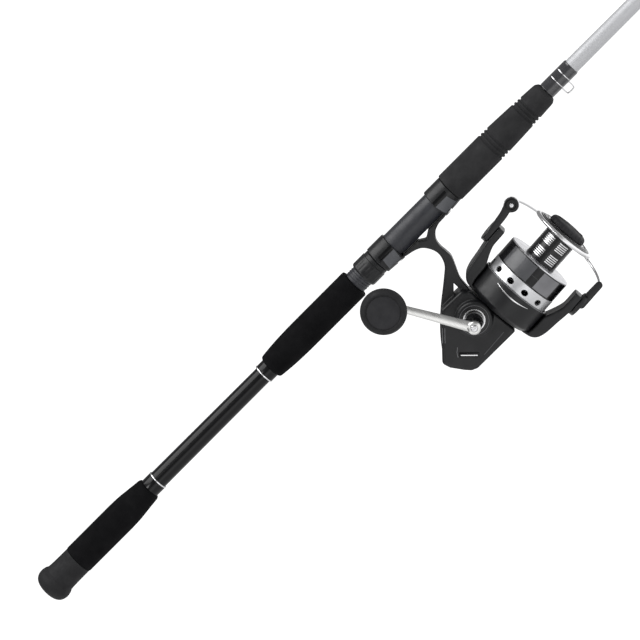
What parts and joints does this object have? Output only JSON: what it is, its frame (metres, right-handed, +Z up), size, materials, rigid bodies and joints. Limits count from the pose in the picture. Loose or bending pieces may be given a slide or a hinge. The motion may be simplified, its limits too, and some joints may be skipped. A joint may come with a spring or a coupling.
{
  "type": "fishing rod and reel",
  "caption": "Heavy spinning rod with foam grips, ringed line guides and a front-drag spinning reel clamped in its seat, bail closed, handle on the left side.",
  "frame": {"origin": "centre of the small flat on the end of the butt cap", "axes": "+X along the rod from the butt to the tip, +Z up, the reel hangs at -Z and its handle is on -Y"},
  "size_m": [2.134, 0.162, 0.1829],
  "materials": {
    "rubber": "moulded rubber, matt",
    "foam": "closed-cell EVA foam, fine matt skin",
    "blank_paint": "satin silver lacquer over composite, gloss black at the handle",
    "black_gloss": "gloss black",
    "seat_plastic": "semi-gloss graphite composite",
    "graphite": "satin black graphite composite",
    "thread": "thread winding under clear lacquer",
    "steel": "polished stainless steel",
    "aluminium": "satin anodised",
    "ceramic": "polished dark ceramic",
    "brass": "machined",
    "spool_metal": "black and silver anodised, no print",
    "felt": "greased carbon felt"
  },
  "bodies": {
    "root": {"butt_cap": "rubber", "butt_grip": "foam", "butt_collar": "black_gloss", "blank": "blank_paint", "rear_collar": "black_gloss", "rear_grip": "foam", "reel_seat": "seat_plastic", "front_hood": "graphite", "fore_grip": "foam", "fore_winding": "thread", "hook_keeper": "steel", "guide_frame_1": "steel", "guide_ring_1": "ceramic", "guide_wrap_1": "thread", "guide_frame_2": "steel", "guide_ring_2": "ceramic", "guide_wrap_2": "thread", "guide_frame_3": "steel", "guide_ring_3": "ceramic", "guide_wrap_3": "thread", "guide_frame_4": "steel", "guide_ring_4": "ceramic", "guide_wrap_4": "thread", "guide_frame_5": "steel", "guide_ring_5": "ceramic", "guide_wrap_5": "thread", "tip_top": "steel", "tip_ring": "ceramic", "reel_body": "graphite", "side_cover": "graphite", "cover_screw_1": "steel", "cover_screw_2": "steel", "cover_screw_3": "steel", "handle_cap": "graphite", "left_bearing": "steel", "right_bearing": "steel", "pinion_bearing": "steel", "anti_reverse_clutch": "steel"},
    "crank": {"drive_gear": "brass", "handle_shank": "graphite", "handle_arm": "aluminium", "arm_screw": "steel", "knob_spindle": "steel"},
    "knob": {"handle_knob": "rubber"},
    "rotor": {"rotor": "graphite", "rotor_nut": "brass", "pinion": "brass"},
    "bail": {"bail_arm": "graphite", "bail_wire": "steel", "bail_lever": "graphite", "roller_screw": "steel"},
    "roller": {"line_roller": "steel"},
    "shaft": {"main_shaft": "steel", "crosswind_block": "graphite"},
    "spool": {"spool": "spool_metal", "drag_washers": "felt"},
    "drag": {"drag_knob": "rubber"},
    "oscillation": {"oscillation_gear": "brass"},
    "hood": {"rear_hood": "graphite"},
    "nut": {"lock_nut": "graphite"}
  },
  "joints": [
    {"name": "crank_turn", "type": "hinge", "parent": "root", "child": "crank", "pos_m": [0.4663, 0, -0.0987], "axis": [0, 1, 0], "continuous": true},
    {"name": "knob_spin", "type": "hinge", "parent": "crank", "child": "knob", "pos_m": [0.42443, -0.088, -0.0253], "axis": [0, 1, 0], "continuous": true},
    {"name": "rotor_spin", "type": "hinge", "parent": "root", "child": "rotor", "pos_m": [0.485, 0, -0.1104], "axis": [0.9979, 0, 0.0645], "continuous": true},
    {"name": "bail_open", "type": "hinge", "parent": "rotor", "child": "bail", "pos_m": [0.53689, 0, -0.10704], "axis": [0.0645, 0, -0.9979], "range_deg": [0, 112]},
    {"name": "line_roller_spin", "type": "hinge", "parent": "bail", "child": "roller", "pos_m": [0.56425, -0.005, -0.04976], "axis": [0, 1, 0], "continuous": true},
    {"name": "spool_stroke", "type": "slide", "parent": "root", "child": "shaft", "axis": [0.9979, 0, 0.0645], "range_m": [-0.018, 0.002]},
    {"name": "spool_slip", "type": "hinge", "parent": "shaft", "child": "spool", "pos_m": [0.56, 0, -0.10555], "axis": [0.9979, 0, 0.0645], "continuous": true},
    {"name": "drag_knob_turn", "type": "hinge", "parent": "shaft", "child": "drag", "pos_m": [0.584, 0, -0.104], "axis": [0.9979, 0, 0.0645], "range_deg": [-360, 360]},
    {"name": "oscillation_spin", "type": "hinge", "parent": "root", "child": "oscillation", "pos_m": [0.45151, 0.0083, -0.11111], "axis": [0, 1, 0], "continuous": true},
    {"name": "hood_slide", "type": "slide", "parent": "root", "child": "hood", "axis": [1, 0, 0], "range_m": [-0.0096, 0]},
    {"name": "lock_nut_turn", "type": "hinge", "parent": "hood", "child": "nut", "pos_m": [0.43, 0, 0], "axis": [1, 0, 0], "range_deg": [-1368, 0]}
  ],
  "couplings": [
    {"joint": "rotor_spin", "follows": "crank_turn", "ratio": 5.3},
    {"joint": "oscillation_spin", "follows": "crank_turn", "ratio": -0.58333},
    {"joint": "hood_slide", "follows": "lock_nut_turn", "m_per_rad": 0.00039789}
  ]
}
